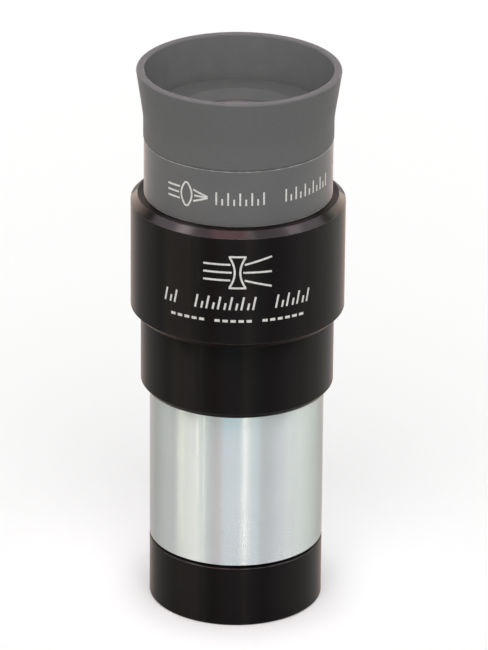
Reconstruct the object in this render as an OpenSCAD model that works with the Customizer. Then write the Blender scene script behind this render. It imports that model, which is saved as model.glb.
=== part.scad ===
// A 1.25 inch Barlow lens with an eyepiece seated in its socket.
// The optical axis is Z. The origin is on that axis, in the plane of the bottom rim,
// and +Z points from the telescope towards the eye. The thumbscrew is at the back, on +Y.
// Every level named z_... is a height above the bottom rim, in millimetres.

/* [Barlow tube] */
// Outside diameter of the nosepiece, the 1.25 inch standard
nosepiece_d = 31.75; // [31.65:0.01:31.80]
// Height of the black lens cell
cell_h = 12.1; // [12.0:0.1:18]
// Length of bright barrel between the lens cell and the sleeve
barrel_h = 30.1; // [15:0.1:60]
// Outside diameter of the sleeve
sleeve_d = 35.1; // [35.0:0.1:38]
// Length of the sleeve
sleeve_h = 14.4; // [14:0.1:30]
// Outside diameter of the collar
collar_d = 38.8; // [38.0:0.1:46]
// Length of the collar
collar_h = 22.6; // [21.6:0.1:32]

/* [Barlow optics] */
// Diameter of the cemented lens pair
lens_d = 24.0; // [20:0.1:24.2]
// Radius of the hollow surface that faces the telescope
lens_front_radius = 70; // [50:1:200]
// Radius of the cemented surface between the two elements
lens_cement_radius = 38; // [34:1:80]
// Radius of the hollow surface that faces the eyepiece
lens_back_radius = 75; // [60:1:200]

/* [Clamp] */
// Diameter of the thumbscrew's thread
screw_d = 3.9; // [2.9:0.1:4.2]
// Diameter of the thumbscrew's knurled head
screw_head_d = 8.4; // [7:0.1:11]
// Length of the thumbscrew's knurled head
screw_head_h = 6.6; // [5:0.1:10]
// Number of knurl grooves round the head
knurl_count = 28; // [16:1:36]

/* [Eyepiece] */
// Outside diameter of the eyepiece's body
body_d = 34.06; // [33.8:0.02:38]
// Height of the body's visible wall
body_h = 10.9; // [10:0.1:20]
// Length of the eyepiece's barrel below the body
eyepiece_barrel_h = 27.0; // [24:0.1:27.4]
// Height of the eyecup above the body
eyecup_h = 13.07; // [9:0.01:20]
// Outside diameter of the eyecup's lip
eyecup_lip_d = 36.8; // [35.8:0.1:44]
// Diameter of the eyepiece's lens pairs
eye_lens_d = 14.0; // [11:0.1:14.2]
// Diameter of the opening in the field stop
field_stop_d = 10.4; // [4:0.1:13]

/* [Hidden] */
$fn = 120;

// Clearances
thread_gap = 0.05;     // radial, between a male and a female thread
slide_gap = 0.08;      // radial, between the eyepiece's barrel and the socket
cement_gap = 0.02;     // between two cemented elements
seat_gap = 0.03;       // between two bodies that rest on each other
overrun = 1;           // how far a cutter runs past the face it cuts

// Radii of the Barlow's turned pieces
r_nose = nosepiece_d / 2;
r_sleeve = sleeve_d / 2;
r_collar = collar_d / 2;
r_filter = 14.25;                      // female filter thread, M28.5 x 0.6
filter_pitch = 0.6;
r_cell_neck = r_filter - thread_gap;   // male thread of the lens cell
cell_neck_h = 4.2;
thread_depth = 0.3;
thread_relief = 0.4;                   // depth of the plain groove at each end of a thread
r_tube = 13.9;                         // bore of the nosepiece barrel
r_barrel_neck = 15.2;                  // male thread into the sleeve
barrel_neck_h = 7;
r_holder_neck = 16.7;                  // male thread of the holder into the sleeve
r_socket = nosepiece_d / 2 + 0.055;    // socket for a 1.25 inch barrel
r_baffle_opening = 12;
cell_edge = 0.6;                       // chamfer on the lens cell's upper edge
small_edge = 0.25;                     // edge break on most turned pieces
sleeve_edge = [0.7, 0.9];              // sleeve's lower chamfer, across and up
collar_low_edge = [1.2, 1.2];
collar_top_edge = [1.25, 1.1];
socket_mouth = 0.4;

// Heights of the Barlow's pieces
z_filter_end = 3.6;
z_barrel = cell_h + seat_gap;
z_sleeve = cell_h + barrel_h;
z_collar = z_sleeve + sleeve_h;
z_collar_top = z_collar + collar_h;
baffle_t = 1;
z_baffle = z_collar - 6.7;
z_holder_neck = z_baffle + baffle_t;
z_screw = z_collar + 12.7;             // height of the thumbscrew's axis

// Barlow lens pair, from its lower edge upwards
r_lens = lens_d / 2;
lens_seat_t = 1.2;                     // shoulder that the lens pair rests against
z_lens_top = cell_h - 0.9;
lens_negative_centre_t = 1.4;
lens_positive_centre_t = 2.6;
negative_edge_t = lens_negative_centre_t + sag(lens_front_radius, r_lens) + sag(lens_cement_radius, r_lens);
positive_edge_t = lens_positive_centre_t - sag(lens_cement_radius, r_lens) + sag(lens_back_radius, r_lens);
z_cement_edge = z_lens_top - positive_edge_t;
z_lens_low = z_cement_edge - negative_edge_t;
r_seat_opening = r_lens - 0.7;
r_ring_thread = r_lens + 0.6;
z_ring_thread_top = z_lens_low + 0.2;
ring_t = 1.2;

// Clamp
clamp_h = 3.8;                         // height of the brass ring
clamp_t = 0.92;                        // thickness of the brass ring
r_clamp_in = r_socket + 0.05;
r_clamp_out = r_clamp_in + clamp_t;
r_clamp_groove = r_clamp_out + 0.2;
clamp_play = 0.2;                      // free height above the ring
clamp_split = 2.4;                     // width of the ring's split
r_screw = screw_d / 2;
y_screw_tip = r_clamp_out + seat_gap;
y_head = r_collar + 0.9;               // where the head's plain boss begins
head_boss_h = 1.3;
r_head_boss = 2.8;
r_head = screw_head_d / 2;
stud_in_head = 4.5;
knurl_depth = 0.35;

// Eyepiece
z_body = z_collar_top + seat_gap;
z_body_top = z_body + body_h;
z_eye_plate = z_body_top + 4.87;       // flat top round the eye lens
z_lip = z_body_top + eyecup_h;
r_body = body_d / 2;
r_body_neck = r_body - 0.93;           // seat of the rubber eyecup
bead_depth = 0.65;
bead_z = [z_body_top + 1.5, z_body_top + 3.3];
r_eyepiece_barrel = r_socket - slide_gap;
z_eyepiece_barrel = z_collar_top - eyepiece_barrel_h;
undercut_depth = 0.45;
undercut_z = [z_screw - 4.2, z_screw + 4.2];
r_eyepiece_tube = 14.35;
r_eyepiece_neck = 13.35;               // male thread into the body
eyepiece_neck_h = 4.5;
r_neck_bore = 12.2;
z_neck_shoulder = z_body - 3;          // where the barrel's bore narrows
r_eye_lens = eye_lens_d / 2;
r_housing_bore = r_eye_lens + thread_gap;
r_housing = 10;                        // the housing's thread into the body
housing_step = 0.8;                    // how far the housing narrows below its thread
z_housing_step = z_body + eyepiece_neck_h + 0.2;
z_housing_top = z_eye_plate - 1.6;
z_eye_seat = z_housing_top - 1.2;      // face that the eye lens rests against
r_eye_opening = r_eye_lens - 0.6;
seat_land = 0.3;                       // height of the opening's straight wall
r_eye_flare = 8.4;
r_plate_opening = 9;
r_plate_flare = 11.2;

// Eyepiece lens pairs: two alike, with the crown elements facing each other
eye_cement_radius = 14;
eye_outer_radius = 20;
flint_centre_t = 1.0;
crown_edge_t = 0.8;
centre_air_gap = 0.4;
cement_sag = sag(eye_cement_radius, r_eye_lens);
outer_sag = sag(eye_outer_radius, r_eye_lens);
flint_edge_t = flint_centre_t + cement_sag;
pair_edge_t = flint_edge_t + crown_edge_t;
spacer_wall = 0.5;
r_spacer_in = r_eye_lens - spacer_wall;
spacer_bite = outer_sag - sag(eye_outer_radius, r_spacer_in);   // bulge of the crown inside the spacer's wall
spacer_h = 2 * (outer_sag - spacer_bite) + centre_air_gap;
z_spacer = z_eye_seat - pair_edge_t - spacer_bite - spacer_h;
z_field_pair = z_spacer - spacer_bite - pair_edge_t;
housing_tail = 0.9;                    // bare thread below the retaining ring
z_housing_low = z_field_pair - ring_t - housing_tail;

// Depth of a spherical surface of this radius at this distance from the axis
function sag(radius, r) = radius - sqrt(radius * radius - r * r);

// Points along an arc in the profile plane
function arc(centre, r, from, to, steps) =
    [for (i = [0:steps]) let (a = from + (to - from) * i / steps)
        centre + r * [cos(a), sin(a)]];

// Ridges of a male thread, as profile points going up
function ridges(r_crest, depth, low, high, pitch) =
    [for (z = [low : pitch : high - pitch])
        each [[r_crest - depth, z], [r_crest, z + pitch / 2], [r_crest - depth, z + pitch]]];

// A piece turned on a lathe from its half section, points [radius, height]
module turned(profile) {
    rotate_extrude() polygon(profile);
}

// A flat ring
module washer(r_out, r_in, low, high) {
    turned([[r_in, low], [r_out, low], [r_out, high], [r_in, high]]);
}

module disc(r, low, high) {
    translate([0, 0, low]) cylinder(r = r, h = high - low);
}

// A ball that touches the level z from above, or from below
module ball_above(z, radius) {
    translate([0, 0, z + radius]) sphere(radius, $fn = 360);
}

module ball_below(z, radius) {
    translate([0, 0, z - radius]) sphere(radius, $fn = 360);
}

// ---- Barlow ----

module lens_cell() {
    z_neck_top = cell_h + cell_neck_h;
    color([0.12, 0.12, 0.12])
    turned(concat(
        [
            [r_filter, 0],
            [r_nose - small_edge, 0],
            [r_nose, small_edge],
            [r_nose, cell_h - cell_edge],
            [r_nose - cell_edge * 0.7, cell_h],
            [r_cell_neck - thread_relief, cell_h]
        ],
        ridges(r_cell_neck, thread_depth, cell_h + 0.5, z_neck_top - 0.3, filter_pitch),
        [
            [r_cell_neck - thread_relief, z_neck_top],
            [r_ring_thread, z_neck_top],
            [r_ring_thread, z_lens_top + lens_seat_t],
            [r_seat_opening, z_lens_top + lens_seat_t],
            [r_seat_opening, z_lens_top],
            [r_lens + thread_gap, z_lens_top],
            [r_lens + thread_gap, z_ring_thread_top],
            [r_ring_thread, z_ring_thread_top],
            [r_ring_thread, z_filter_end],
            [r_filter, z_filter_end]
        ]
    ));
}

module lens_retaining_ring() {
    slot_w = 1;
    slot_depth = 0.7;
    z_low = z_lens_low - ring_t;
    r_in = r_lens - 1;
    color([0.15, 0.15, 0.15])
    difference() {
        washer(r_ring_thread - thread_gap, r_in, z_low, z_lens_low);
        translate([-r_nose, -slot_w / 2, z_low - overrun])
            cube([2 * r_nose, slot_w, slot_depth + overrun]);
    }
}

module barlow_negative_lens() {
    color([0.75, 0.85, 0.8, 0.5])
    difference() {
        disc(r_lens, z_lens_low, z_cement_edge);
        ball_below(z_lens_low + sag(lens_front_radius, r_lens), lens_front_radius);
        ball_above(z_cement_edge - sag(lens_cement_radius, r_lens), lens_cement_radius);
    }
}

module barlow_positive_lens() {
    z_vertex = z_cement_edge - sag(lens_cement_radius, r_lens) + cement_gap;
    color([0.8, 0.8, 0.9, 0.5])
    difference() {
        intersection() {
            disc(r_lens, z_vertex - overrun, z_lens_top);
            ball_above(z_vertex, lens_cement_radius);
        }
        ball_above(z_lens_top - sag(lens_back_radius, r_lens), lens_back_radius);
    }
}

module nosepiece_barrel() {
    runout = 0.8;                      // plain bore past the end of the cell's thread
    z_thread_end = z_barrel + cell_neck_h + runout;
    z_top = z_sleeve + barrel_neck_h;
    color([0.8, 0.83, 0.85])
    turned([
        [r_filter, z_barrel],
        [r_nose - small_edge / 2, z_barrel],
        [r_nose, z_barrel + small_edge / 2],
        [r_nose, z_sleeve],
        [r_barrel_neck, z_sleeve],
        [r_barrel_neck, z_top],
        [r_tube, z_top],
        [r_tube, z_thread_end],
        [r_filter, z_thread_end]
    ]);
}

module body_sleeve() {
    r_low_bore = r_barrel_neck + thread_gap;
    r_high_bore = r_holder_neck + thread_gap;
    color([0.1, 0.1, 0.1])
    turned([
        [r_low_bore, z_sleeve],
        [r_sleeve - sleeve_edge.x, z_sleeve],
        [r_sleeve, z_sleeve + sleeve_edge.y],
        [r_sleeve, z_collar],
        [r_high_bore, z_collar],
        [r_high_bore, z_baffle],
        [r_low_bore, z_baffle]
    ]);
}

module light_baffle() {
    color([0.08, 0.08, 0.08])
    turned([
        [r_baffle_opening, z_baffle + baffle_t / 2],
        [r_baffle_opening + 1, z_baffle],
        [r_holder_neck, z_baffle],
        [r_holder_neck, z_holder_neck],
        [r_baffle_opening + 1, z_holder_neck]
    ]);
}

module eyepiece_holder() {
    z_groove = z_screw - clamp_h / 2;
    z_groove_top = z_groove + clamp_h + clamp_play;
    color([0.1, 0.1, 0.1])
    difference() {
        turned([
            [r_socket, z_holder_neck],
            [r_holder_neck, z_holder_neck],
            [r_holder_neck, z_collar],
            [r_collar - collar_low_edge.x, z_collar],
            [r_collar, z_collar + collar_low_edge.y],
            [r_collar, z_collar_top - collar_top_edge.y],
            [r_collar - collar_top_edge.x, z_collar_top],
            [r_socket + socket_mouth, z_collar_top],
            [r_socket, z_collar_top - socket_mouth],
            [r_socket, z_groove_top],
            [r_clamp_groove, z_groove_top],
            [r_clamp_groove, z_groove],
            [r_socket, z_groove]
        ]);
        translate([0, r_socket, z_screw])
            rotate([-90, 0, 0])
                cylinder(r = r_screw + thread_gap, h = r_collar);
    }
}

module compression_ring() {
    z_low = z_screw - clamp_h / 2 + cement_gap;
    color([0.8, 0.65, 0.3])
    difference() {
        washer(r_clamp_out, r_clamp_in, z_low, z_low + clamp_h);
        translate([-clamp_split / 2, -r_collar, z_low - overrun])
            cube([clamp_split, r_collar, clamp_h + 2 * overrun]);
    }
}

// The thumbscrew's pieces are drawn along +Z and laid along +Y at the screw's height
module along_screw() {
    translate([0, 0, z_screw]) rotate([-90, 0, 0]) children();
}

module thumbscrew_stud() {
    tip_edge = 0.4;
    stud_end = y_head + stud_in_head;
    color([0.75, 0.6, 0.3])
    along_screw()
        turned([
            [0, y_screw_tip],
            [r_screw - tip_edge, y_screw_tip],
            [r_screw, y_screw_tip + tip_edge],
            [r_screw, stud_end],
            [0, stud_end]
        ]);
}

module thumbscrew_head() {
    knurl_low = y_head + head_boss_h;
    knurl_high = knurl_low + screw_head_h;
    hole_end = y_head + stud_in_head + thread_gap;
    edge = 0.5;
    rim_w = 1.4;                       // flat rim round the hollow in the end face
    hollow_depth = 0.3;
    color([0.8, 0.83, 0.85])
    along_screw()
    difference() {
        turned([
            [r_screw + thread_gap, y_head],
            [r_head_boss, y_head],
            [r_head_boss, knurl_low],
            [r_head - edge, knurl_low],
            [r_head, knurl_low + edge],
            [r_head, knurl_high - edge],
            [r_head - edge, knurl_high],
            [r_head - rim_w, knurl_high],
            [r_head - rim_w - hollow_depth, knurl_high - hollow_depth],
            [0, knurl_high - hollow_depth],
            [0, hole_end],
            [r_screw + thread_gap, hole_end]
        ]);
        for (i = [0 : knurl_count - 1])
            rotate([0, 0, i * 360 / knurl_count])
                translate([r_head, 0, knurl_low - overrun])
                    rotate([0, 0, 45])
                        translate([-knurl_depth / 2, -knurl_depth / 2, 0])
                            cube([knurl_depth * 2, knurl_depth * 2, screw_head_h + 2 * overrun]);
    }
}

// ---- Eyepiece ----

module eyepiece_barrel() {
    r_low = r_eyepiece_barrel - undercut_depth;
    z_neck_top = z_body + eyepiece_neck_h;
    z_thread_end = z_eyepiece_barrel + z_filter_end;
    color([0.8, 0.83, 0.85])
    turned([
        [r_filter, z_eyepiece_barrel],
        [r_eyepiece_barrel - socket_mouth, z_eyepiece_barrel],
        [r_eyepiece_barrel, z_eyepiece_barrel + socket_mouth],
        [r_eyepiece_barrel, undercut_z[0] - undercut_depth],
        [r_low, undercut_z[0]],
        [r_low, undercut_z[1]],
        [r_eyepiece_barrel, undercut_z[1] + undercut_depth],
        [r_eyepiece_barrel, z_body],
        [r_eyepiece_neck, z_body],
        [r_eyepiece_neck, z_neck_top],
        [r_neck_bore, z_neck_top],
        [r_neck_bore, z_neck_shoulder],
        [r_eyepiece_tube, z_neck_shoulder],
        [r_eyepiece_tube, z_thread_end],
        [r_filter, z_thread_end]
    ]);
}

module eyepiece_body() {
    r_neck_thread = r_eyepiece_neck + thread_gap;
    r_housing_thread = r_housing + thread_gap;
    r_groove = r_body_neck - bead_depth;
    low_edge = 0.3;
    top_edge = 0.2;
    color([0.4, 0.4, 0.4])
    turned([
        [r_neck_thread, z_body],
        [r_body - low_edge, z_body],
        [r_body, z_body + low_edge],
        [r_body, z_body_top - top_edge],
        [r_body - top_edge, z_body_top],
        [r_body_neck, z_body_top],
        [r_body_neck, bead_z[0]],
        [r_groove, bead_z[0]],
        [r_groove, bead_z[1]],
        [r_body_neck, bead_z[1]],
        [r_body_neck, z_eye_plate - small_edge],
        [r_body_neck - small_edge, z_eye_plate],
        [r_plate_flare, z_eye_plate],
        [r_plate_opening, z_housing_top],
        [r_housing_thread, z_housing_top],
        [r_housing_thread, z_housing_step],
        [r_neck_thread, z_housing_step]
    ]);
}

module eyecup() {
    r_low = r_body + 0.11;
    low_edge = 0.2;
    z_low = z_body_top + seat_gap;
    z_flare = z_body_top + 4.2;        // where the wall starts to widen
    z_well = z_eye_plate + 0.2;
    r_lip = eyecup_lip_d / 2;
    lip_t = 1.45;                      // thickness of the lip
    lip_round = 0.4;                   // radius of the lip's two edges
    r_seat = r_body_neck + cement_gap;
    bead_gap = 0.05;
    r_bead = r_seat - bead_depth + bead_gap;
    color([0.4, 0.4, 0.4])
    turned(concat(
        [
            [r_seat, z_low],
            [r_low - low_edge, z_low],
            [r_low, z_low + low_edge],
            [r_low, z_flare]
        ],
        arc([r_lip - lip_round, z_lip - lip_round], lip_round, -8, 90, 6),
        arc([r_lip - lip_t + lip_round, z_lip - lip_round], lip_round, 90, 174, 6),
        [
            [r_seat, z_well],
            [r_seat, bead_z[1] - bead_gap],
            [r_bead, bead_z[1] - bead_gap],
            [r_bead, bead_z[0] + bead_gap],
            [r_seat, bead_z[0] + bead_gap]
        ]
    ));
}

module eyepiece_lens_housing() {
    color([0.15, 0.15, 0.15])
    turned([
        [r_housing_bore, z_housing_low],
        [r_housing - housing_step, z_housing_low],
        [r_housing - housing_step, z_housing_step],
        [r_housing, z_housing_step],
        [r_housing, z_housing_top],
        [r_eye_flare, z_housing_top],
        [r_eye_opening, z_eye_seat + seat_land],
        [r_eye_opening, z_eye_seat],
        [r_housing_bore, z_eye_seat]
    ]);
}

// One plano-concave flint element, with its flat face up
module flint(z_top) {
    color([0.8, 0.8, 0.9, 0.5])
    difference() {
        disc(r_eye_lens, z_top - flint_edge_t, z_top);
        ball_below(z_top - flint_centre_t, eye_cement_radius);
    }
}

// One biconvex crown element, which fits a flint whose flat face is at z_top
module crown(z_top) {
    z_high = z_top - flint_centre_t - cement_gap;
    z_low = z_top - pair_edge_t - outer_sag;
    color([0.75, 0.85, 0.8, 0.5])
    intersection() {
        disc(r_eye_lens, z_low, z_high);
        ball_below(z_high, eye_cement_radius);
        ball_above(z_low, eye_outer_radius);
    }
}

// The field pair is the eye pair turned over about the middle of the spacer
module turned_over() {
    translate([0, 0, 2 * z_spacer + spacer_h]) mirror([0, 0, 1]) children();
}

module eye_lens_flint() {
    flint(z_eye_seat);
}

module eye_lens_crown() {
    crown(z_eye_seat);
}

module field_lens_crown() {
    turned_over() crown(z_eye_seat);
}

module field_lens_flint() {
    turned_over() flint(z_eye_seat);
}

module lens_spacer() {
    color([0.15, 0.15, 0.15])
    washer(r_eye_lens, r_spacer_in, z_spacer, z_spacer + spacer_h);
}

module eyepiece_retaining_ring() {
    slot_w = 0.8;
    slot_depth = 0.6;
    ring_w = 1.1;
    z_low = z_field_pair - ring_t;
    color([0.15, 0.15, 0.15])
    difference() {
        washer(r_eye_lens, r_eye_lens - ring_w, z_low, z_field_pair);
        translate([-r_housing, -slot_w / 2, z_low - overrun])
            cube([2 * r_housing, slot_w, slot_depth + overrun]);
    }
}

module field_stop() {
    edge_t = 0.2;                      // thickness at the opening
    ring_w = 1.15;                     // full-thickness ring at the outer edge
    z_low = z_neck_shoulder + 0.5;
    z_high = z_low + 1.6;
    r_out = r_neck_bore - thread_gap;
    color([0.08, 0.08, 0.08])
    turned([
        [field_stop_d / 2, z_high - edge_t],
        [r_out - ring_w, z_low],
        [r_out, z_low],
        [r_out, z_high],
        [field_stop_d / 2, z_high]
    ]);
}

lens_cell();
lens_retaining_ring();
barlow_negative_lens();
barlow_positive_lens();
nosepiece_barrel();
body_sleeve();
light_baffle();
eyepiece_holder();
compression_ring();
thumbscrew_stud();
thumbscrew_head();
eyepiece_barrel();
eyepiece_body();
eyecup();
eyepiece_lens_housing();
eye_lens_flint();
eye_lens_crown();
lens_spacer();
field_lens_crown();
field_lens_flint();
eyepiece_retaining_ring();
field_stop();
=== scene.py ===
import math
from collections import namedtuple

import bpy
from mathutils import Matrix, Vector


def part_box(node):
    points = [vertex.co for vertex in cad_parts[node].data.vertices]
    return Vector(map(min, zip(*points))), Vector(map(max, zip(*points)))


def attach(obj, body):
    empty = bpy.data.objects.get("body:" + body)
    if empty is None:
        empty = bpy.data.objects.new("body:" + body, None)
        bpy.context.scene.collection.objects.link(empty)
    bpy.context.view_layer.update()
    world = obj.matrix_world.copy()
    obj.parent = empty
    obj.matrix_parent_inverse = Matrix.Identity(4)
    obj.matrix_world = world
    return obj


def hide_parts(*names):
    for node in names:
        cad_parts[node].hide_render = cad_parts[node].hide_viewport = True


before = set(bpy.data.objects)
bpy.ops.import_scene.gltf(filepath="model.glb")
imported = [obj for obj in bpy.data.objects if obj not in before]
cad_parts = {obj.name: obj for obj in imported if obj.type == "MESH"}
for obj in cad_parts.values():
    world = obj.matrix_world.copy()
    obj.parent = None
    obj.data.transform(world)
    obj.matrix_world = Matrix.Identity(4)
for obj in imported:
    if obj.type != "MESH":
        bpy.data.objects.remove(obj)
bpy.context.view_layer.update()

# A Barlow lens with an eyepiece seated in its socket. The turned pieces are made again from the
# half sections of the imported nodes, with rounded edges, helical threads and a knurl. The lens
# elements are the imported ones, in glass.
# Lengths are in metres and MM turns a number of millimetres into metres.

MM = 0.001
SAME_POINT = 0.005 * MM            # corners closer than this are one corner
GENTLE_TURN = math.radians(24)     # a corner that turns less than this is part of a curve
GENTLE_REACH = 0.45                # its rounding takes this share of the shorter side next to it
MOST_REACH = 0.4                   # the rounding of any other corner takes at most this share
SHARP_EDGE = math.radians(38)      # a turn between two faces that stays a hard edge
SEGMENTS = 192                     # steps round a turned piece
ROWS_TO_A_TURN = 8                 # rows of points in one pitch of a thread
CREST_SHARE = 0.12                 # the flat crest's share of a thread's pitch
FLANK_SHARE = 0.74                 # and its two flanks' share

Point = namedtuple("Point", "r z worn")


# ---- Half sections ----

def half_section(node, keep=lambda place: True, lying=Matrix()):
    """The closed outline of a turned node, as (radius, height) corners in counterclockwise order.
    lying carries the Z axis to the piece's own axis."""
    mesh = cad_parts[node].data
    corners, links, corner_of = [], [], {}
    upright = lying.inverted()
    for vertex in mesh.vertices:
        if not keep(vertex.co):
            continue
        co = upright @ vertex.co
        r, z = math.hypot(co.x, co.y), co.z
        for i, corner in enumerate(corners):
            if abs(corner[0] - r) < SAME_POINT and abs(corner[1] - z) < SAME_POINT:
                break
        else:
            i = len(corners)
            corners.append((r, z))
            links.append(set())
        corner_of[vertex.index] = i
    for edge in mesh.edges:
        a, b = (corner_of.get(v) for v in edge.vertices)
        if None not in (a, b) and a != b:
            links[a].add(b)
            links[b].add(a)
    ends = [i for i, linked in enumerate(links) if len(linked) == 1]
    first = ends[0] if ends else 0
    walk = [first, min(links[first])]
    while walk[-1] not in ends:
        onward = links[walk[-1]] - {walk[-2]}
        if len(onward) != 1:
            raise ValueError(f"{node} isn't a plain turned piece at {corners[walk[-1]]}")
        following = onward.pop()
        if following == first:
            break
        walk.append(following)
    outline = [corners[i] for i in walk]
    if ends:                       # a solid piece: the outline closes along the axis
        outline += [(0, outline[-1][1]), (0, outline[0][1])]
    area = sum(a[0] * b[1] - b[0] * a[1] for a, b in zip(outline, outline[1:] + outline[:1]))
    return outline if area > 0 else outline[::-1]


def rounded(outline, radius, steps=4):
    """The outline with its corners rounded. Its points are worn 1 on an outer edge and 0 elsewhere."""
    points = []
    for i, corner in enumerate(outline):
        here = Vector(corner)
        before = here - Vector(outline[i - 1])
        after = Vector(outline[(i + 1) % len(outline)]) - here
        turn = math.atan2(before.x * after.y - before.y * after.x, before.dot(after))
        shorter = min(before.length, after.length)
        gentle = abs(turn) < GENTLE_TURN
        if gentle:
            reach = GENTLE_REACH * shorter
        else:
            reach = min(radius * math.tan(abs(turn) / 2), MOST_REACH * shorter)
        start = here - before.normalized() * reach
        end = here + after.normalized() * reach
        count = 2 if gentle else steps
        for k in range(count + 1):
            s = k / count
            place = start * (1 - s) ** 2 + here * 2 * s * (1 - s) + end * s ** 2
            points.append(Point(place.x, place.y, float(turn > GENTLE_TURN and 0 < k < count)))
    return points


def with_rows(points, r, low, high, spacing):
    """The points with rows added along the upright wall at radius r, from low to high."""
    found = []
    for a, b in zip(points, points[1:] + points[:1]):
        found.append(a)
        upright = abs(a.r - r) < SAME_POINT and abs(b.r - r) < SAME_POINT
        bottom, top = max(low, min(a.z, b.z)), min(high, max(a.z, b.z))
        if upright and top - bottom > spacing:
            count = round((top - bottom) / spacing)
            rows = [bottom + (top - bottom) * k / count for k in range(1, count)]
            found += [Point(a.r, z, 0.0) for z in (rows if b.z > a.z else rows[::-1])]
    return found


def thread(r, low, high, pitch, depth, inward=1):
    """How a helical thread changes the wall at radius r: a function of radius, height and angle.
    It cuts into a male wall, and with inward -1 it leaves ridges on a bore."""
    def cut(radius, z, angle):
        if abs(radius - r) > SAME_POINT or not low < z < high:
            return radius
        phase = (z / pitch - angle / math.tau) % 1
        groove = min(1, max(0, (abs(2 * phase - 1) - CREST_SHARE) / FLANK_SHARE))
        fade = min(1, (z - low) / pitch, (high - z) / pitch)
        return radius - depth * fade * (groove if inward > 0 else 1 - groove)
    return cut


# ---- Meshes ----

def new_piece(name, vertices, faces, worn=None):
    """A smooth-shaded mesh object with its worn edges in an attribute."""
    mesh = bpy.data.meshes.new(name)
    mesh.from_pydata(vertices, [], faces)
    if worn:
        mesh.attributes.new("worn", "FLOAT", "POINT").data.foreach_set("value", worn)
    piece = bpy.data.objects.new(name, mesh)
    bpy.context.scene.collection.objects.link(piece)
    shade(piece)
    return piece


def shade(piece):
    """Smooth shading that leaves flat walls flat and hard corners hard."""
    piece.data.shade_smooth()
    piece.data.set_sharp_from_angle(angle=SHARP_EDGE)
    weigh = piece.modifiers.new("flat walls", "WEIGHTED_NORMAL")
    weigh.keep_sharp = True


def lathe(name, points, segments=SEGMENTS, shape=None, start=0, sweep=math.tau, place=Matrix()):
    """A solid of revolution about Z. shape(r, z, angle) may change a point's radius; less than a
    whole turn is closed with two end faces; place then moves the piece."""
    whole = sweep == math.tau
    turns = segments if whole else segments + 1
    vertices, worn = [], []
    for k in range(turns):
        angle = start + sweep * k / segments
        for p in points:
            r = shape(p.r, p.z, angle) if shape else p.r
            vertices.append(place @ Vector((r * math.cos(angle), r * math.sin(angle), p.z)))
            worn.append(p.worn)
    count = len(points)
    faces = []
    for k in range(segments):
        here, there = k * count, (k + 1) % turns * count
        for i in range(count):
            j = (i + 1) % count
            faces.append((here + i, there + i, there + j, here + j))
    if not whole:
        faces.append(tuple(range(count)))
        faces.append(tuple(range(turns * count - 1, (turns - 1) * count - 1, -1)))
    return new_piece(name, vertices, faces, worn)


def closed_on_axis(points):
    """The points with any that lie on the axis moved just off it, so that no face has no area."""
    just_off = 0.001 * MM
    return [Point(max(p.r, just_off), p.z, p.worn) for p in points]


def cut_away(piece, cutter):
    """Takes the cutter's shape out of a piece, and removes the cutter."""
    piece.modifiers.clear()
    cut = piece.modifiers.new("cut", "BOOLEAN")
    cut.object = cutter
    cut.solver = "EXACT"
    graph = bpy.context.evaluated_depsgraph_get()
    result = bpy.data.meshes.new_from_object(piece.evaluated_get(graph), depsgraph=graph)
    piece.modifiers.clear()
    piece.data = result
    bpy.data.objects.remove(cutter)
    shade(piece)


def drill(piece, outline, place):
    """Cuts a turned shape, whose outline is (radius, height) corners, out of a piece."""
    points = closed_on_axis([Point(r, z, 0.0) for r, z in outline])
    cut_away(piece, lathe("cutter", points, segments=64, place=place))


def bar(name, low, high):
    """A plain block between two corners, to cut with."""
    corners = [(x, y, z) for z in (low.z, high.z) for y in (low.y, high.y)
               for x in (low.x, high.x)]
    faces = [(0, 2, 3, 1), (4, 5, 7, 6), (0, 1, 5, 4), (2, 6, 7, 3), (0, 4, 6, 2), (1, 3, 7, 5)]
    return new_piece(name, corners, faces)


def finish_piece(piece, material, body, slot, *nodes):
    """Gives a piece its material and its body, and hides the nodes that it stands for. Its record slot
    is not used.
    """
    piece.data.materials.clear()
    piece.data.materials.append(material)
    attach(piece, body)
    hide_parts(*nodes)
    return piece


# ---- Materials ----

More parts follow.
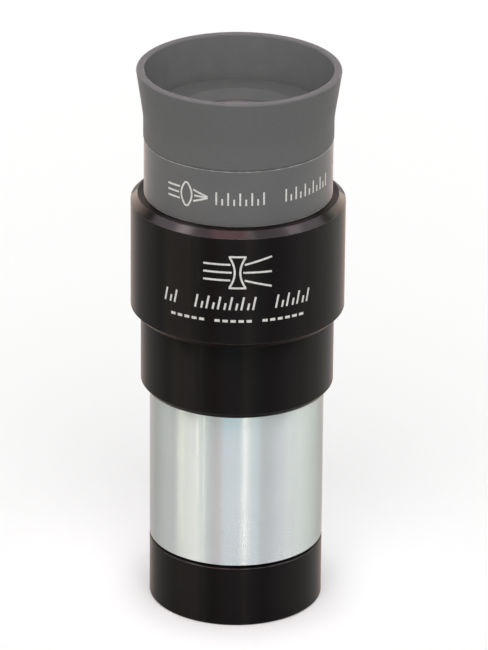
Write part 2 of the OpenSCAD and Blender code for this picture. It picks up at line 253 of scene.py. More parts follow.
class Look:
    """A node material: a Principled shader and short ways to add nodes that feed it."""

    def __init__(self, name, **sockets):
        self.material = bpy.data.materials.new(name)
        self.material.use_nodes = True
        self.tree = self.material.node_tree
        self.shader = self.tree.nodes["Principled BSDF"]
        self.set(self.shader, sockets)
        self.coordinates = self.add("ShaderNodeTexCoord").outputs["Object"]

    def set(self, node, sockets):
        """Each socket is given a number or colour, or another node's output."""
        for name, value in sockets.items():
            socket = node.inputs[name]
            if isinstance(value, bpy.types.NodeSocket):
                self.tree.links.new(value, socket)
            else:
                socket.default_value = value

    def add(self, kind, sockets=None, **settings):
        node = self.tree.nodes.new(kind)
        for name, value in settings.items():
            setattr(node, name, value)
        self.set(node, sockets or {})
        return node

    def math(self, operation, a, b=0.0):
        return self.add("ShaderNodeMath", {0: a, 1: b}, operation=operation).outputs[0]

    def noise(self, size, detail=3.0, vector=None, roughness=0.5):
        """Noise whose features are about size metres across."""
        sockets = {"Vector": vector or self.coordinates, "Scale": 1 / size, "Detail": detail,
                   "Roughness": roughness}
        return self.add("ShaderNodeTexNoise", sockets).outputs["Fac"]

    def ranged(self, value, to_low, to_high, low=0.3, high=0.7):
        """value from low..high carried over to to_low..to_high, and kept inside it. Noise lies
        mostly between 0.3 and 0.7."""
        sockets = {"Value": value, "From Min": low, "From Max": high, "To Min": to_low,
                   "To Max": to_high}
        return self.add("ShaderNodeMapRange", sockets).outputs["Result"]

    def patches(self, size, detail=3.0):
        """Soft patches about size metres across, 0 in some places and 1 in others."""
        return self.ranged(self.noise(size, detail), 0, 1, 0.35, 0.65)

    def mixed(self, share, a, b):
        """Colour a where share is 0 and colour b where it is 1."""
        node = self.add("ShaderNodeMix", {"Factor": share, 6: a, 7: b}, data_type="RGBA")
        return node.outputs[2]

    def turning_marks(self, size, axis="Z"):
        """Fine rings left by the lathe: noise over radius and height that ignores the angle."""
        split = self.add("ShaderNodeSeparateXYZ", {"Vector": self.coordinates}).outputs
        along, others = split[axis], [split[name] for name in "XYZ" if name != axis]
        squares = [self.math("MULTIPLY", o, o) for o in others]
        r = self.math("SQRT", self.math("ADD", *squares))
        rings = self.add("ShaderNodeCombineXYZ", {"X": r, "Y": along}).outputs["Vector"]
        return self.noise(size, 2.0, rings)

    def worn(self):
        """The share of wear on the piece's outer edges, broken up by noise. On the grey eyepiece this
        edge colour is also a painted highlight.
        """
        edge = self.add("ShaderNodeAttribute", attribute_name="worn").outputs["Fac"]
        broken = self.ranged(self.noise(1.3 * MM, 4.0), 0.25, 1, 0.38, 0.62)
        return self.math("MULTIPLY", edge, broken)

    def bump(self, height, depth):
        """Raises the surface by depth metres where height is 1."""
        sockets = {"Height": height, "Distance": depth, "Strength": 1.0}
        if self.shader.inputs["Normal"].is_linked:
            sockets["Normal"] = self.shader.inputs["Normal"].links[0].from_socket
        self.set(self.shader, {"Normal": self.add("ShaderNodeBump", sockets).outputs["Normal"]})

    def brushed_round(self, axis="Z"):
        """Highlights stretch across the rings that the lathe left."""
        tangent = self.add("ShaderNodeTangent", direction_type="RADIAL", axis=axis)
        self.set(self.shader, {"Tangent": tangent.outputs["Tangent"], "Anisotropic Rotation": 0.25})


def black_anodised():
    """Deep black with a brownish sheen where it is seen at a slant."""
    look = Look("black_anodised", Metallic=0.0, Anisotropic=1.0)
    look.set(look.shader, {"Specular IOR Level": 0.07, "Specular Tint": (1.0, 0.9, 0.86, 1),
                           "Sheen Weight": 0.3, "Sheen Roughness": 0.2,
                           "Sheen Tint": (1.0, 0.55, 0.35, 1)})
    tone = look.mixed(look.patches(9 * MM),
                      (0.0006, 0.0006, 0.0006, 1), (0.0013, 0.0010, 0.0009, 1))
    rings = look.turning_marks(0.12 * MM)
    look.set(look.shader, {
        "Base Color": look.mixed(look.worn(), tone, (0.055, 0.050, 0.050, 1)),
        "Roughness": look.ranged(rings, 0.28, 0.33),
    })
    look.bump(rings, 0.0003 * MM)
    look.brushed_round()
    return look.material


def chrome(name="chrome", axis="Z"):
    """Satin chrome on a piece that was turned about the axis. It darkens towards its edges."""
    look = Look(name, Metallic=1.0, Anisotropic=1.0)
    look.set(look.shader, {"Specular Tint": (0.62, 0.62, 0.62, 1)})
    rings = look.turning_marks(0.09 * MM, axis)
    tone = look.mixed(look.patches(6 * MM, 4.0),
                      (0.400, 0.420, 0.416, 1), (0.412, 0.432, 0.428, 1))
    look.set(look.shader, {
        "Base Color": look.mixed(look.worn(), tone, (0.62, 0.61, 0.6, 1)),
        "Roughness": look.ranged(rings, 0.235, 0.245),
    })
    look.brushed_round(axis)
    return look.material


def brass():
    """Turned brass with patches of tarnish."""
    look = Look("brass", Metallic=1.0, Anisotropic=0.7)
    tarnish = look.ranged(look.noise(2.5 * MM, 5.0), 0, 1, 0.38, 0.66)
    rings = look.turning_marks(0.1 * MM)
    look.set(look.shader, {
        "Base Color": look.mixed(tarnish, (0.72, 0.52, 0.23, 1), (0.46, 0.31, 0.13, 1)),
        "Roughness": look.ranged(rings, 0.24, 0.36),
    })
    look.bump(rings, 0.001 * MM)
    look.brushed_round()
    return look.material


def matt_grey_painted_light(name, level):
    """Grey without gloss, for what is seen inside the eyecup, where it is painted paler than the
    outside: painted light against the shade in the cup. Its patches are a little warmer.
    """
    look = Look(name, Metallic=0.0)
    look.set(look.shader, {"Specular IOR Level": 0.0})
    grain = look.noise(0.1 * MM, 3.0)
    plain = (level, level, level, 1)
    warmer = (1.08 * level, 1.07 * level, 1.06 * level, 1)
    look.set(look.shader, {
        "Base Color": look.mixed(look.patches(3 * MM, 4.0), plain, warmer),
        "Roughness": look.ranged(grain, 0.7, 0.8),
    })
    look.bump(grain, 0.003 * MM)
    return look.material


def grey_anodised():
    """The eyepiece's turned grey, paler where it is seen at a slant. Its outer edges are painted pale,
    partly as worn bare metal and partly as a painted highlight.
    """
    look = Look("grey_anodised", Metallic=0.0, Anisotropic=0.6)
    look.set(look.shader, {"Specular IOR Level": 0.08,
                           "Sheen Weight": 0.6, "Sheen Roughness": 0.28,
                           "Sheen Tint": (1.0, 0.84, 0.77, 1)})
    rings = look.turning_marks(0.14 * MM)
    tone = look.mixed(look.patches(7 * MM),
                      (0.097, 0.097, 0.098, 1), (0.106, 0.105, 0.104, 1))
    # The pale edge colour is worn bare metal and also a painted highlight along the body's edges, such
    # as its top edge at the eyecup.
    look.set(look.shader, {
        "Base Color": look.mixed(look.worn(), tone, (0.42, 0.41, 0.40, 1)),
        "Roughness": look.ranged(rings, 0.45, 0.52),
    })
    look.bump(rings, 0.0008 * MM)
    look.brushed_round()
    return look.material


def grey_rubber():
    """Soft grey rubber with dust on it and a fine grain."""
    look = Look("grey_rubber", Metallic=0.0)
    look.set(look.shader, {"Specular IOR Level": 0.04,
                           "Sheen Weight": 0.1, "Sheen Roughness": 0.3,
                           "Sheen Tint": (1.0, 0.87, 0.81, 1)})
    dust = look.ranged(look.noise(0.8 * MM, 6.0, roughness=0.65), 0, 1, 0.5, 0.75)
    grain = look.noise(0.11 * MM, 2.0)
    tone = look.mixed(dust, (0.104, 0.104, 0.104, 1), (0.112, 0.111, 0.110, 1))
    wear = look.math("MULTIPLY", look.worn(), 0.6)
    look.set(look.shader, {
        "Base Color": look.mixed(wear, tone, (0.15, 0.148, 0.145, 1)),
        "Roughness": look.ranged(look.noise(3 * MM, 4.0), 0.52, 0.66),
    })
    look.bump(look.noise(0.5 * MM, 3.0), 0.006 * MM)
    look.bump(grain, 0.003 * MM)
    return look.material


def inner_black():
    """The blackened inner parts, without gloss."""
    look = Look("inner_black", Metallic=0.0)
    look.set(look.shader, {"Specular IOR Level": 0.25})
    grain = look.noise(0.07 * MM, 3.0)
    tone = look.ranged(look.noise(3 * MM, 4.0), 0, 1)
    look.set(look.shader, {
        "Base Color": look.mixed(tone, (0.006, 0.006, 0.006, 1), (0.013, 0.012, 0.012, 1)),
        "Roughness": look.ranged(grain, 0.6, 0.8),
    })
    look.bump(grain, 0.006 * MM)
    return look.material


def coated_glass():
    """Clear glass. Its coating leaves a faint green reflection, and it has a light smear."""
    look = Look("coated_glass", Metallic=0.0, IOR=1.52)
    look.set(look.shader, {"Transmission Weight": 1.0, "Specular Tint": (0.05, 0.09, 0.08, 1)})
    smear = look.noise(4 * MM, 3.0)
    look.set(look.shader, {
        "Base Color": look.mixed(smear, (0.93, 0.97, 0.95, 1), (0.96, 0.98, 0.99, 1)),
        "Roughness": look.ranged(smear, 0.0, 0.03, 0.45, 0.75),
    })
    return look.material


def white_ink():
    """Printed white, thinner in places."""
    look = Look("white_ink", Metallic=0.0)
    look.set(look.shader, {"Specular IOR Level": 0.3})
    wear = look.ranged(look.noise(0.35 * MM, 4.0), 0, 1, 0.36, 0.6)
    look.set(look.shader, {
        "Base Color": look.mixed(wear, (0.44, 0.43, 0.41, 1), (0.58, 0.57, 0.55, 1)),
        "Roughness": look.ranged(wear, 0.6, 0.45, 0, 1),
    })
    look.bump(look.noise(0.12 * MM, 3.0), 0.003 * MM)
    return look.material


BLACK = black_anodised()
CHROME = chrome()
SCREW_CHROME = chrome("screw_chrome", "Y")
BRASS = brass()
GREY = grey_anodised()
# These two are painted paler than the grey body and the rubber: painted light that stands in for the
# light the eyecup's shade takes away.
FACE_GREY_PAINTED_LIGHT = matt_grey_painted_light("face_grey_painted_light", 0.128)     # the face round the eye lens
WALL_GREY_PAINTED_LIGHT = matt_grey_painted_light("wall_grey_painted_light", 0.158)     # the wall inside the eyecup
RUBBER = grey_rubber()
MATT = inner_black()
GLASS = coated_glass()
INK = white_ink()


# ---- The Barlow ----

EDGE = 0.12 * MM                   # edge break of the turned pieces
FINE_EDGE = 0.04 * MM              # of the thin rings
BAFFLE_EDGE = 0.03 * MM            # and of the light baffle, which is thinner still
FILTER_PITCH = 0.6 * MM            # M28.5 x 0.6 filter thread
FILTER_DEPTH = 0.3 * MM
FILTER_ROWS = FILTER_PITCH / ROWS_TO_A_TURN
LEAD_IN = 0.2 * MM                 # plain bore below a filter thread
SCREW_GAP = 0.05 * MM              # the play round the thumbscrew's stud


def make_lens_cell():
    """The black cell: a filter thread in its lower end and the same thread on its neck."""
    outline = half_section("lens_cell")
    slack = 0.1 * MM
    z_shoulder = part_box("nosepiece_barrel")[0].z - slack
    bore = min(outline, key=lambda p: (p[1], p[0]))[0]
    r_inside = bore - 5 * slack    # the neck's outside is above the shoulder and wider than this
    neck = [p for p in outline if p[1] > z_shoulder and p[0] > r_inside]
    # Known fault: the cell's upper rim is among these corners too, so r_crest is the rim's radius
    # and the neck's radius is 1.25 mm too large. It should be the largest one above the rim.
    r_crest, r_relief = max(p[0] for p in neck), min(p[0] for p in neck)
    levels = sorted(p[1] for p in neck)
    z_low, z_high = levels[2], levels[-2]      # the foot of the first ridge, the top of the last
    plain = [p for p in outline if p not in neck]
    start = next(i for i, p in enumerate(outline) if p in neck and outline[i - 1] not in neck)
    at = sum(p not in neck for p in outline[:start])
    run = [(r_relief, levels[0]), (r_relief, z_low), (r_crest, z_low), (r_crest, z_high),
           (r_relief, z_high), (r_relief, levels[-1])]
    points = rounded(plain[:at] + run + plain[at:], EDGE)
    z_filter_end = max(p[1] for p in outline if abs(p[0] - bore) < SAME_POINT)
    points = with_rows(points, r_crest, z_low, z_high, FILTER_ROWS)
    points = with_rows(points, bore, 0, z_filter_end, FILTER_ROWS)
    male = thread(r_crest, z_low, z_high, FILTER_PITCH, FILTER_DEPTH)
    female = thread(bore, LEAD_IN, z_filter_end, FILTER_PITCH, FILTER_DEPTH, inward=-1)
    piece = lathe("cell_shell", points, shape=lambda r, z, a: female(male(r, z, a), z, a))
    finish_piece(piece, BLACK, "cell", "black_anodised", "lens_cell")


def make_turned(node, name, material, body, slot, edge=EDGE):
    """A plain turned piece in the place of a node."""
    piece = lathe(name, rounded(half_section(node), edge))
    return finish_piece(piece, material, body, slot, node)


STUD_LOW, STUD_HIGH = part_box("thumbscrew_stud")
R_STUD = (STUD_HIGH.z - STUD_LOW.z) / 2
SCREW_HEIGHT = Matrix.Translation((0, 0, (STUD_HIGH.z + STUD_LOW.z) / 2))
ALONG_SCREW = SCREW_HEIGHT @ Matrix.Rotation(-math.pi / 2, 4, "X")     # carries Z to the screw's +Y


def make_holder():
    """The collar, with the thumbscrew's hole drilled through its back and widened at the mouth."""
    outline = half_section("eyepiece_holder", lambda place: place.y < 0)
    piece = lathe("collar", rounded(outline, EDGE))
    r_hole = R_STUD + SCREW_GAP
    r_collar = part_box("eyepiece_holder")[1].x
    mouth = 0.45 * MM
    past = 2 * MM
    cutter = [(0, STUD_LOW.y - past), (r_hole, STUD_LOW.y - past), (r_hole, r_collar - mouth),
              (r_hole + mouth + past, r_collar + past), (0, r_collar + past)]
    drill(piece, cutter, ALONG_SCREW)
    finish_piece(piece, BLACK, "barlow_body", "black_anodised", "eyepiece_holder")


def make_compression_ring():
    """The split brass ring, sprung round the socket with its gap at the front."""
    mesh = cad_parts["compression_ring"].data
    half_gap = min(abs(v.co.x) for v in mesh.vertices if v.co.y < 0)
    outline = half_section("compression_ring", lambda place: place.y > 0)
    gap = math.asin(half_gap / max(r for r, z in outline))
    edge = 0.25 * MM
    piece = lathe("clamp_ring", rounded(outline, edge), start=gap - math.pi / 2,
                  sweep=math.tau - 2 * gap)
    finish_piece(piece, BRASS, "barlow_body", "brass", "compression_ring")


def make_retaining_ring(node, name, body):
    """A threaded ring that holds a lens, with a slot on each side for a spanner."""
    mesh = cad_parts[node].data
    low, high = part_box(node)
    slot_top = min(v.co.z for v in mesh.vertices if v.co.z > low.z + SAME_POINT)
    slot_half = max(abs(v.co.y) for v in mesh.vertices if abs(v.co.z - slot_top) < SAME_POINT)
    outline = half_section(node, lambda place: place.x < 0 and abs(place.y) > 2 * slot_half)
    edge, past = 0.1 * MM, 1 * MM
    piece = lathe(name, rounded(outline, edge, steps=3))
    bar_low = Vector((low.x - past, -slot_half, low.z - past))
    bar_high = Vector((high.x + past, slot_half, slot_top))
    cut_away(piece, bar("cutter", bar_low, bar_high))
    finish_piece(piece, MATT, body, "inner_black", node)


make_lens_cell()
make_turned("nosepiece_barrel", "nosepiece_tube", CHROME, "barlow_body", "chrome")
make_turned("body_sleeve", "sleeve", BLACK, "barlow_body", "black_anodised")
make_turned("light_baffle", "baffle_ring", MATT, "barlow_body", "inner_black", BAFFLE_EDGE)
make_holder()
make_compression_ring()
make_retaining_ring("lens_retaining_ring", "lens_ring", "cell")


# ---- The thumbscrew ----

STUD_PITCH = 0.7 * MM              # M4 x 0.7
STUD_DEPTH = 0.38 * MM
FLUTES = 28                        # knurl grooves round the head
FLUTE_STEPS = 12                   # steps round each
FLUTE_DEPTH = 0.28 * MM
FLUTE_SHARE = 0.62                 # of the way from one crest's middle to the next


def make_stud():
    """The brass stud, with its thread from the tip to just inside the head."""
    outline = half_section("thumbscrew_stud", lying=ALONG_SCREW)
    edge, tip, tail = 0.1 * MM, 0.4 * MM, 0.2 * MM
    low, high = STUD_LOW.y + tip, STUD_HIGH.y - tail
    points = with_rows(rounded(outline, edge), R_STUD, low, high, STUD_PITCH / ROWS_TO_A_TURN)
    shape = thread(R_STUD, low, high, STUD_PITCH, STUD_DEPTH)
    piece = lathe("screw_stud", closed_on_axis(points), segments=72, shape=shape,
                  place=ALONG_SCREW)
    finish_piece(piece, BRASS, "clamp_stud", "brass", "thumbscrew_stud")


def make_head():
    """The thumbscrew's head: a plain boss and a wider grip with straight knurling."""
    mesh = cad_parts["thumbscrew_head"].data
    upright = ALONG_SCREW.inverted()
    places = [(math.hypot(*(upright @ v.co).xy), v.co.y) for v in mesh.vertices]
    r_head = max(r for r, y in places)
    y_low, y_high = (corner.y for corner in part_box("thumbscrew_head"))
    r_boss = max(r for r, y in places if y < y_low + SAME_POINT)
    y_grip = min(y for r, y in places if r > r_boss + SAME_POINT)
    r_hole = R_STUD + SCREW_GAP
    y_hole = STUD_HIGH.y + SCREW_GAP
    rim, hollow, edge = 1.3 * MM, 0.3 * MM, 0.5 * MM
    outline = [(r_hole, y_low), (r_boss, y_low), (r_boss, y_grip), (r_head - edge, y_grip),
               (r_head, y_grip + edge), (r_head, y_high - edge), (r_head - edge, y_high),
               (r_head - rim, y_high), (r_head - rim - 2 * hollow, y_high - hollow),
               (0, y_high - hollow), (0, y_hole), (r_hole, y_hole)]
    fine_edge, spacing = 0.15 * MM, 0.5 * MM
    points = with_rows(rounded(outline, fine_edge, steps=5), r_head, y_grip, y_high, spacing)

    def fluted(r, z, angle):
        """The grip's radius, where a rounded V between two flat crests may be lower."""
        across = abs(2 * (angle / math.tau * FLUTES % 1) - 1) / FLUTE_SHARE
        return min(r, r_head - FLUTE_DEPTH * (1 + math.cos(math.pi * min(1, across))) / 2)

    piece = lathe("screw_head", closed_on_axis(points), FLUTES * FLUTE_STEPS, fluted,
                  place=ALONG_SCREW)
    finish_piece(piece, SCREW_CHROME, "clamp_head", "chrome", "thumbscrew_head")


make_stud()
make_head()


# ---- The eyepiece ----

FACE_DEPTH = 4 * MM                # the face and the cone in it reach no lower than this
CUP_EDGE = 0.2 * MM
LEANS_UP = 0.3                     # a face whose normal rises more than this looks up
LIES_FLAT = 0.6                    # one whose normal rises more than this belongs to the rim


def make_eyepiece_barrel():
    """The bright barrel, with its safety groove and a filter thread in its lower end."""
    outline = half_section("eyepiece_barrel")
    z_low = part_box("eyepiece_barrel")[0].z
    bore = min(outline, key=lambda p: (p[1], p[0]))[0]
    z_end = max(p[1] for p in outline if abs(p[0] - bore) < SAME_POINT)
    points = with_rows(rounded(outline, EDGE), bore, z_low, z_end, FILTER_ROWS)
    female = thread(bore, z_low + LEAD_IN, z_end, FILTER_PITCH, FILTER_DEPTH, inward=-1)
    piece = lathe("eyepiece_tube", points, shape=female)
    finish_piece(piece, CHROME, "eyepiece_shell", "chrome", "eyepiece_barrel")


def make_eyepiece_body():
    """The grey body. Its face inside the eyecup is matt and painted paler than the body, painted light
    against the shade in the cup.
    """
    piece = make_turned("eyepiece_body", "eyepiece_shell_body", GREY, "eyepiece_shell",
                        "grey_anodised")
    piece.data.materials.append(FACE_GREY_PAINTED_LIGHT)
    z_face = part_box("eyepiece_body")[1].z - FACE_DEPTH
    # The upward faces near the top take the paler grey, painted light against the shade in the cup.
    for face in piece.data.polygons:
        if face.center.z > z_face and face.normal.z > LEANS_UP:
            face.material_index = 1


def make_eyecup():
    """The rubber cup. Its wall inside is matt and painted paler than the outside, painted light
    against the shade in the cup.
    """
    piece = make_turned("eyecup", "rubber_eyecup", RUBBER, "eyepiece_shell", "grey_rubber",
                        CUP_EDGE)
    piece.data.materials.append(WALL_GREY_PAINTED_LIGHT)
    # The inward faces take the paler grey, painted light against the shade in the cup.
    for face in piece.data.polygons:
        outward = face.normal.x * face.center.x + face.normal.y * face.center.y
        if outward < 0 and face.normal.z < LIES_FLAT:
            face.material_index = 1


make_eyepiece_barrel()
make_eyepiece_body()
make_eyecup()
make_turned("eyepiece_lens_housing", "lens_housing", MATT, "eyepiece_optics", "inner_black")
make_turned("field_stop", "field_stop_ring", MATT, "eyepiece_shell", "inner_black", FINE_EDGE)
make_turned("lens_spacer", "spacer_ring", MATT, "eyepiece_optics", "inner_black", FINE_EDGE)
make_retaining_ring("eyepiece_retaining_ring", "eyepiece_lens_ring", "eyepiece_optics")

LENSES = ["barlow_negative_lens", "barlow_positive_lens", "eye_lens_flint", "eye_lens_crown",
          "field_lens_crown", "field_lens_flint"]
for name in LENSES:
    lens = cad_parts[name]
    for slot in lens.material_slots:
        slot.material = GLASS


# ---- The printed marks ----

class Print:
    """Ink on an upright wall. A stroke is drawn in the flat, across to the right and up from the
    middle of the mark, and then wrapped round the wall. The mark's own middle is across from the
    wall's front."""

    PROUD, SUNK = 0.015 * MM, 0.02 * MM
    STEP = 0.35 * MM               # no stretch of a stroke is longer, so that it follows the wall
    GAP = 1.0                      # pitches that two groups of marks stand further apart

    def __init__(self, radius, across, height):
        self.radius, self.across, self.height = radius, across, height
        self.vertices, self.faces = [], []

    def wrapped(self, place, rise):
        """The point in space of a place in the flat, rise off the wall."""
        angle = (self.across + place.x) / self.radius
        r = self.radius + rise
        return r * math.sin(angle), -r * math.cos(angle), self.height + place.y

    def stroke(self, path, width, closed=False):
        """A line of ink along a path of (across, up) points."""
        corners = [Vector(p) for p in path]
        if closed:
            corners.append(corners[0])
        stations = []
        for a, b in zip(corners, corners[1:]):
            count = max(1, math.ceil((b - a).length / self.STEP))
            stations += [a.lerp(b, k / count) for k in range(count)]
        if not closed:
            stations.append(corners[-1])
        first, total = len(self.vertices), len(stations)
        for i, here in enumerate(stations):
            before = stations[i - 1] if closed or i else here
            after = stations[(i + 1) % total] if closed or i < total - 1 else here
            side = (after - before).normalized().orthogonal() * width / 2
            section = ((-side, self.PROUD), (side, self.PROUD),
                       (side, -self.SUNK), (-side, -self.SUNK))
            for edge, rise in section:
                self.vertices.append(self.wrapped(here + edge, rise))
        for i in range(total if closed else total - 1):
            here, there = first + 4 * i, first + 4 * ((i + 1) % total)
            for k in range(4):
                n = (k + 1) % 4
                self.faces.append((here + k, here + n, there + n, there + k))
        if not closed:
            last = first + 4 * (total - 1)
            self.faces += [(first + 3, first + 2, first + 1, first),
                           (last, last + 1, last + 2, last + 3)]

    def places(self, left, right, groups, to_a_pitch):
        """Where the marks of each group stand from left to right, and their number in it."""
        pitch = (right - left) / (sum(groups) - 1 + self.GAP * (len(groups) - 1))
        x = left
        for group in groups:
            for k in range(to_a_pitch * (group - 1) + 1):
                yield x + k * pitch / to_a_pitch, k
            x += (group + self.GAP) * pitch

    def ruler(self, left, right, groups, tall, short, width, lean=0.2):
        """Groups of marks on one foot line, long and short by turns."""
        foot = -tall / 2
        for middle, k in self.places(left, right, groups, 2):
            length = short if k % 2 else tall
            shift = lean * length / 2
            self.stroke([(middle - shift, foot), (middle + shift, foot + length)], width)

    def dashes(self, left, right, groups, length, width):
        """Groups of short level dashes."""
        for middle, k in self.places(left, right, groups, 1):
            self.stroke([(middle - length / 2, 0), (middle + length / 2, 0)], width)

    def lens_sign(self, height, waist, rim, ray, spread, width):
        """A lens in section, with three rays that come in level on its left and leave it on its
        right. waist and rim are half its thickness in the middle and at its ends, so it is hollow
        where waist is under rim. ray is how far the rays reach, and spread is how much further
        apart they end, as a share."""
        steps = 16
        levels = [height / 2 - height * k / steps for k in range(steps + 1)]
        right = [(waist + (rim - waist) * (2 * v / height) ** 2, v) for v in levels]
        left = [(-u, v) for u, v in reversed(right)]
        self.stroke(right + left, width, closed=True)
        clear = 1.5 * width
        for share in (-0.5, 0, 0.5):
            v = share * height / 2
            near = waist + (rim - waist) * share ** 2 + clear
            self.stroke([(-ray, v), (-near, v)], width)
            self.stroke([(near, v), (ray, v * (1 + spread))], width)

    def finished(self, name, body):
        """Makes the strokes one flat-shaded piece that rides on a body."""
        piece = new_piece(name, self.vertices, self.faces)
        piece.modifiers.clear()
        piece.data.materials.append(INK)
        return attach(piece, body)


def make_collar_marks():
    """A hollow lens between rays over two rows of plain marks, where the collar is printed."""
    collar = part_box("eyepiece_holder")[1]
    z_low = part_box("body_sleeve")[1].z
    wall = collar.z - z_low
    z_sign, z_scale, z_dashes = (z_low + share * wall for share in (0.668, 0.403, 0.252))
    sign = Print(collar.x, 0, z_sign)
    sign.lens_sign(height=6.0 * MM, waist=0.5 * MM, rim=1.5 * MM, ray=6.2 * MM, spread=0.9,
                   width=0.36 * MM)
    sign.finished("collar_sign", "barlow_body")
    scale = Print(collar.x, 0, z_scale)
    scale.ruler(-13.8 * MM, 13.6 * MM, (2, 6, 4), tall=2.5 * MM, short=1.3 * MM, width=0.36 * MM)
    scale.finished("collar_scale", "barlow_body")
    dashes = Print(collar.x, 0, z_dashes)
    dashes.dashes(-12.2 * MM, 12.2 * MM, (5, 5, 6), length=0.95 * MM, width=0.5 * MM)
    dashes.finished("collar_dashes", "barlow_body")


def make_eyepiece_marks():
    """A bulging lens between rays and a row of plain marks round the eyepiece's body."""
    low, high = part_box("eyepiece_body")
    z_middle = low.z + 5.5 * MM
    sign = Print(high.x, -9.7 * MM, z_middle)
    sign.lens_sign(height=4.4 * MM, waist=1.1 * MM, rim=0.25 * MM, ray=4.2 * MM, spread=-0.9,
                   width=0.34 * MM)
    sign.finished("eyepiece_sign", "eyepiece_shell")
    scale = Print(high.x, 0, z_middle)
    scale.ruler(-3.9 * MM, 26.0 * MM, (5, 6, 2), tall=2.4 * MM, short=1.2 * MM,
                width=0.32 * MM, lean=0)
    scale.finished("eyepiece_scale", "eyepiece_shell")


make_collar_marks()
make_eyepiece_marks()


# ---- The camera, the light and the floor ----

ELEVATION = math.radians(23.624)   # how far the camera looks down
DISTANCE = 1.03548                 # from the camera to the point it looks at
LOOK_AT = Vector((0, 0, 0.055))
ASIDE = 1.227 * MM                 # the frame's centre lies this far right of that point
BELOW = 1.715 * MM                 # and this far below it
ROLL = math.radians(0.482)         # the photo leans by this much
FOCAL_LENGTH = 315.7               # in millimetres, on a sensor 36 wide
PALE = (0.93, 0.93, 0.93, 1)       # the floor
SKY_COLOUR, SKY_STRENGTH = (1.0, 0.99, 0.985, 1), 0.78


def make_camera():
    """A long lens at the photo's angle."""
    camera = bpy.data.objects.new("camera", bpy.data.cameras.new("camera"))
    bpy.context.scene.collection.objects.link(camera)
    back = Vector((0, -math.cos(ELEVATION), math.sin(ELEVATION)))
    turn = (-back).to_track_quat("-Z", "Y").to_matrix()
    camera.matrix_world = Matrix.Translation(
        LOOK_AT + back * DISTANCE + turn @ Vector((ASIDE, -BELOW, 0))
    ) @ (turn @ Matrix.Rotation(ROLL, 3, "Z")).to_4x4()
    camera.data.lens = FOCAL_LENGTH
    camera.data.sensor_width = 36
    camera.data.sensor_fit = "AUTO"
    camera.data.clip_start = 0.01
    bpy.context.scene.camera = camera


def make_floor():
    """A wide pale floor without gloss."""
    half = 3.0
    corners = [(-half, -half, 0), (half, -half, 0), (half, half, 0), (-half, half, 0)]
    floor = bpy.data.objects.new("floor", bpy.data.meshes.new("floor"))
    floor.data.from_pydata(corners, [], [(0, 1, 2, 3)])
    bpy.context.scene.collection.objects.link(floor)
    look = Look("floor", Roughness=0.9)
    look.set(look.shader, {"Base Color": PALE, "Specular IOR Level": 0.0})
    floor.data.materials.append(look.material)


def make_world():
    """Even light from all round."""
    world = bpy.data.worlds.new("studio")
    world.use_nodes = True
    background = world.node_tree.nodes["Background"]
    background.inputs["Color"].default_value = SKY_COLOUR
    background.inputs["Strength"].default_value = SKY_STRENGTH
    bpy.context.scene.world = world
    bpy.context.scene.view_settings.view_transform = "Standard"


LIT_POINT = Vector((0, 0, 0.05))   # the middle of the object
LIGHT_DISTANCE = 0.7               # from there to every light
WHITE = (1, 1, 1)


def make_light(name, azimuth, elevation, width, tall, radiance, tint=WHITE, fills=False):
    """A soft light that faces the object and shows in its gloss; one that fills lights matt
    surfaces too. Azimuth 0 is the camera's side, and it grows to the right."""
    light = bpy.data.lights.new(name, "AREA")
    light.shape = "RECTANGLE"
    light.size, light.size_y = width, tall
    light.energy = radiance * math.pi * width * tall
    light.color = tint
    lamp = bpy.data.objects.new(name, light)
    a, e = math.radians(azimuth), math.radians(elevation)
    away = Vector((math.sin(a) * math.cos(e), -math.cos(a) * math.cos(e), math.sin(e)))
    lamp.location = LIT_POINT + away * LIGHT_DISTANCE
    lamp.rotation_euler = (-away).to_track_quat("-Z", "Y").to_euler()
    lamp.visible_camera = False
    lamp.visible_diffuse = fills
    bpy.context.scene.collection.objects.link(lamp)


def make_upright(name, azimuth, width, radiance, tint=WHITE):
    """A low upright light, which the turned walls draw out into a streak from top to bottom."""
    elevation, tall = 9, 0.22
    make_light(name, azimuth, elevation, width, tall, radiance, tint)


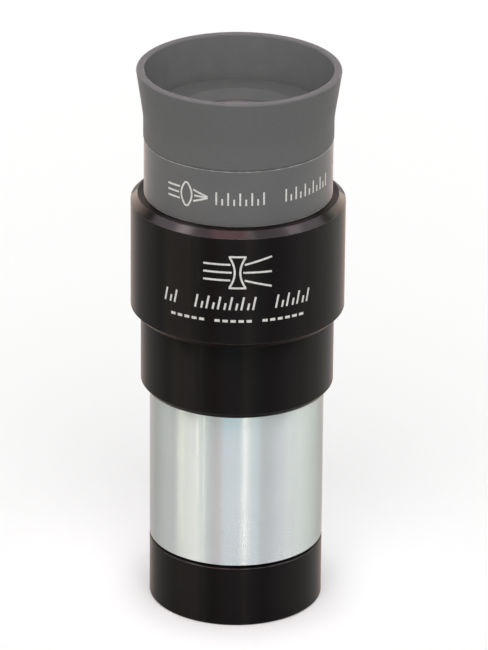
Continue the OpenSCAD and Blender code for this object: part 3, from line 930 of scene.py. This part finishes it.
def make_sun():
    """Broad light from above the camera, which the gloss doesn't show."""
    sun = bpy.data.lights.new("sky", "SUN")
    sun.energy = 1.2
    sun.angle = math.radians(50)
    lamp = bpy.data.objects.new("sky", sun)
    lamp.rotation_euler = (math.radians(40), 0, 0)
    lamp.visible_glossy = False
    bpy.context.scene.collection.objects.link(lamp)


CREAM = (1.0, 1.0, 0.7)
WARM = (1.0, 0.78, 0.66)
ROSE = (1.0, 0.42, 0.48)

make_camera()
make_floor()
make_world()

# Streaks on the chrome and the black walls: first the narrow ones, then the broad ones from left
# to right. After its name, each has an azimuth, a width, a radiance and a tint.
make_upright("strip_front", 11, 0.02, 18)
for azimuth in (-77, -71, -50, -41):
    make_upright(f"strip_{-azimuth}", azimuth, 0.008, 60, CREAM)
make_upright("panel_left_far", -104, 0.3, 2.6, (0.95, 1.0, 0.7))
make_upright("panel_left", -66, 0.44, 2.0, (1.0, 1.0, 0.3))
make_upright("panel_left_end", -40, 0.2, 1.8, (0.5, 1.0, 0.97))
make_upright("panel_middle", -6, 0.3, 5.2, (0.3, 0.88, 1.0))
make_upright("panel_front", 12, 0.15, 7.4, (0.97, 1.0, 0.92))
make_upright("panel_front_end", 24, 0.15, 5.4, (0.6, 0.9, 1.0))
make_upright("panel_gap", 48, 0.44, 0.8, (0.4, 0.85, 1.0))
make_upright("panel_right_end", 72, 0.15, 6.0, (0.9, 1.0, 0.9))
make_upright("panel_right", 103, 0.62, 10.0, (0.92, 1.0, 0.85))

# The upward faces show what stands behind the object and above it.
for side, azimuth in (("left", -145), ("right", 145)):
    make_light(f"panel_back_{side}", azimuth, 15, 0.4, 0.5, 5, WARM)
make_light("panel_top", 0, 89, 2.0, 1.0, 14, (0.98, 0.88, 1.0))

# The collar's chamfer shows these.
make_light("panel_rose", -16, 66, 0.3, 0.3, 26, ROSE)
make_light("lamp_high_front", 22, 65, 0.02, 0.3, 90)
make_light("lamp_high_left", -79, 52, 0.12, 0.2, 95, (1.0, 0.94, 0.97))
make_light("lamp_high_right", 82, 51, 0.07, 0.2, 80, (0.96, 0.93, 1.0))

# With the world's light, these two light the matt surfaces and the floor.
make_light("overhead", 0, 89, 0.5, 0.5, 1.0, fills=True)
make_sun()
